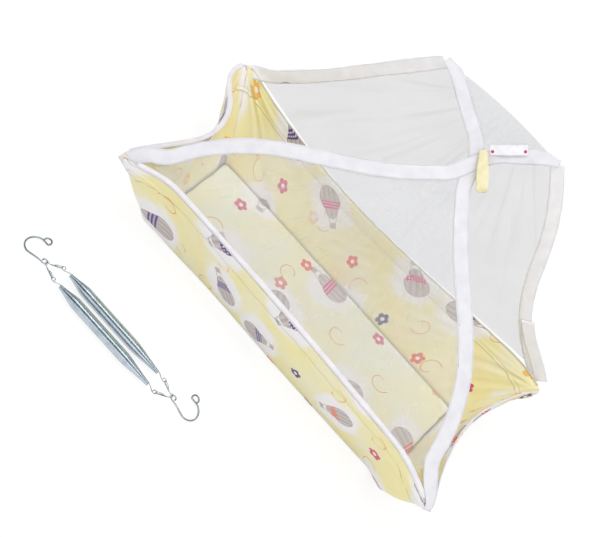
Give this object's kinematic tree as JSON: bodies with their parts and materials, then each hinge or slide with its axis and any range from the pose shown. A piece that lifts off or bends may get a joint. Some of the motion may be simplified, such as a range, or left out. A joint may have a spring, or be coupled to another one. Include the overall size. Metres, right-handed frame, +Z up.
{
  "type": "hanging baby cradle",
  "caption": "Rectangular printed cloth baby cradle with a net canopy on crossing bands, a hang loop, and an extension spring set with hooks.",
  "frame": {"origin": "middle of the base's flat underside, on the floor", "axes": "+X along the long side, +Y from the near side with the spring set in front of it to the far side, +Z up"},
  "size_m": [0.9204, 0.693, 0.5818],
  "materials": {
    "printed_cloth": "printed woven cotton",
    "mattress_cloth": "printed woven cotton over foam",
    "white_tape": "sewn white cotton tape",
    "net": "fine white net",
    "board": "raw fibre board",
    "steel_wire": "galvanised wire",
    "spring_steel": "bright plated spring steel"
  },
  "bodies": {
    "cradle": {"floor_cloth": "printed_cloth", "base_board": "board", "mattress": "mattress_cloth", "near_wall": "printed_cloth", "far_wall": "printed_cloth", "left_wall": "printed_cloth", "right_wall": "printed_cloth", "near_rim_piping": "white_tape", "far_rim_piping": "white_tape", "left_rim_piping": "white_tape", "right_rim_piping": "white_tape", "near_band_left": "white_tape", "near_band_right": "white_tape", "far_band_left": "white_tape", "far_band_right": "white_tape", "flap_band_left": "white_tape", "flap_band_right": "white_tape", "near_net": "net", "far_net": "net", "flap_net": "net", "crossing_patch": "white_tape", "band_fold": "white_tape", "loop_tail": "printed_cloth"},
    "hang_loop": {"hang_loop": "printed_cloth"},
    "upper_hook": {"upper_hook": "steel_wire"},
    "upper_link_1": {"upper_link_1": "steel_wire"},
    "spring_1": {"spring_1_upper_eye": "steel_wire", "spring_1_coil": "spring_steel"},
    "spring_1_end": {"spring_1_lower_eye": "steel_wire"},
    "lower_link_1": {"lower_link_1": "steel_wire"},
    "lower_hook": {"lower_hook": "steel_wire"},
    "upper_link_2": {"upper_link_2": "steel_wire"},
    "spring_2": {"spring_2_upper_eye": "steel_wire", "spring_2_coil": "spring_steel"},
    "spring_2_end": {"spring_2_lower_eye": "steel_wire"},
    "lower_link_2": {"lower_link_2": "steel_wire"}
  },
  "joints": [
    {"name": "spring_set_lift", "type": "slide", "parent": "cradle", "child": "upper_hook", "axis": [0, 0, 1], "range_m": [0, 0.3]},
    {"name": "hang_loop_flip", "type": "hinge", "parent": "cradle", "child": "hang_loop", "pos_m": [-0.00102, 0.21201, 0.51541], "axis": [-0.7138, -0.5027, -0.4876], "range_deg": [0, 120]},
    {"name": "springs_spread", "type": "hinge", "parent": "upper_hook", "child": "upper_link_1", "pos_m": [-0.416, -0.391, 0.012], "axis": [0, 0, 1], "range_deg": [0, 40]},
    {"name": "spring_1_swivel", "type": "hinge", "parent": "upper_link_1", "child": "spring_1", "pos_m": [-0.38348, -0.36772, 0.012], "axis": [0, 0, 1], "range_deg": [-40, 0]},
    {"name": "springs_stretch", "type": "slide", "parent": "spring_1", "child": "spring_1_end", "axis": [1, 0, 0], "range_m": [0, 0.12], "stiffness_N_per_m": 120, "deforming": ["spring_1_coil"]},
    {"name": "lower_link_1_swivel", "type": "hinge", "parent": "spring_1_end", "child": "lower_link_1", "pos_m": [-0.08648, -0.36772, 0.012], "axis": [0, 0, 1], "range_deg": [-40, 0]},
    {"name": "lower_hook_swing", "type": "hinge", "parent": "lower_link_1", "child": "lower_hook", "pos_m": [-0.04848, -0.38021, 0.012], "axis": [0, 0, 1], "range_deg": [-30, 40]},
    {"name": "upper_link_2_swivel", "type": "hinge", "parent": "upper_hook", "child": "upper_link_2", "pos_m": [-0.416, -0.391, 0.012], "axis": [0, 0, 1], "range_deg": [-40, 0]},
    {"name": "spring_2_swivel", "type": "hinge", "parent": "upper_link_2", "child": "spring_2", "pos_m": [-0.378, -0.40349, 0.012], "axis": [0, 0, 1], "range_deg": [0, 40]},
    {"name": "spring_2_stretch", "type": "slide", "parent": "spring_2", "child": "spring_2_end", "axis": [1, 0, 0], "range_m": [0, 0.12], "deforming": ["spring_2_coil"]},
    {"name": "lower_link_2_swivel", "type": "hinge", "parent": "spring_2_end", "child": "lower_link_2", "pos_m": [-0.081, -0.40349, 0.012], "axis": [0, 0, 1], "range_deg": [0, 40]}
  ],
  "couplings": [
    {"joint": "spring_1_swivel", "follows": "springs_spread", "ratio": -1},
    {"joint": "lower_link_1_swivel", "follows": "springs_spread", "ratio": -1},
    {"joint": "upper_link_2_swivel", "follows": "springs_spread", "ratio": -1},
    {"joint": "spring_2_swivel", "follows": "springs_spread", "ratio": 1},
    {"joint": "lower_link_2_swivel", "follows": "springs_spread", "ratio": 1},
    {"joint": "spring_2_stretch", "follows": "springs_stretch", "ratio": 1}
  ]
}
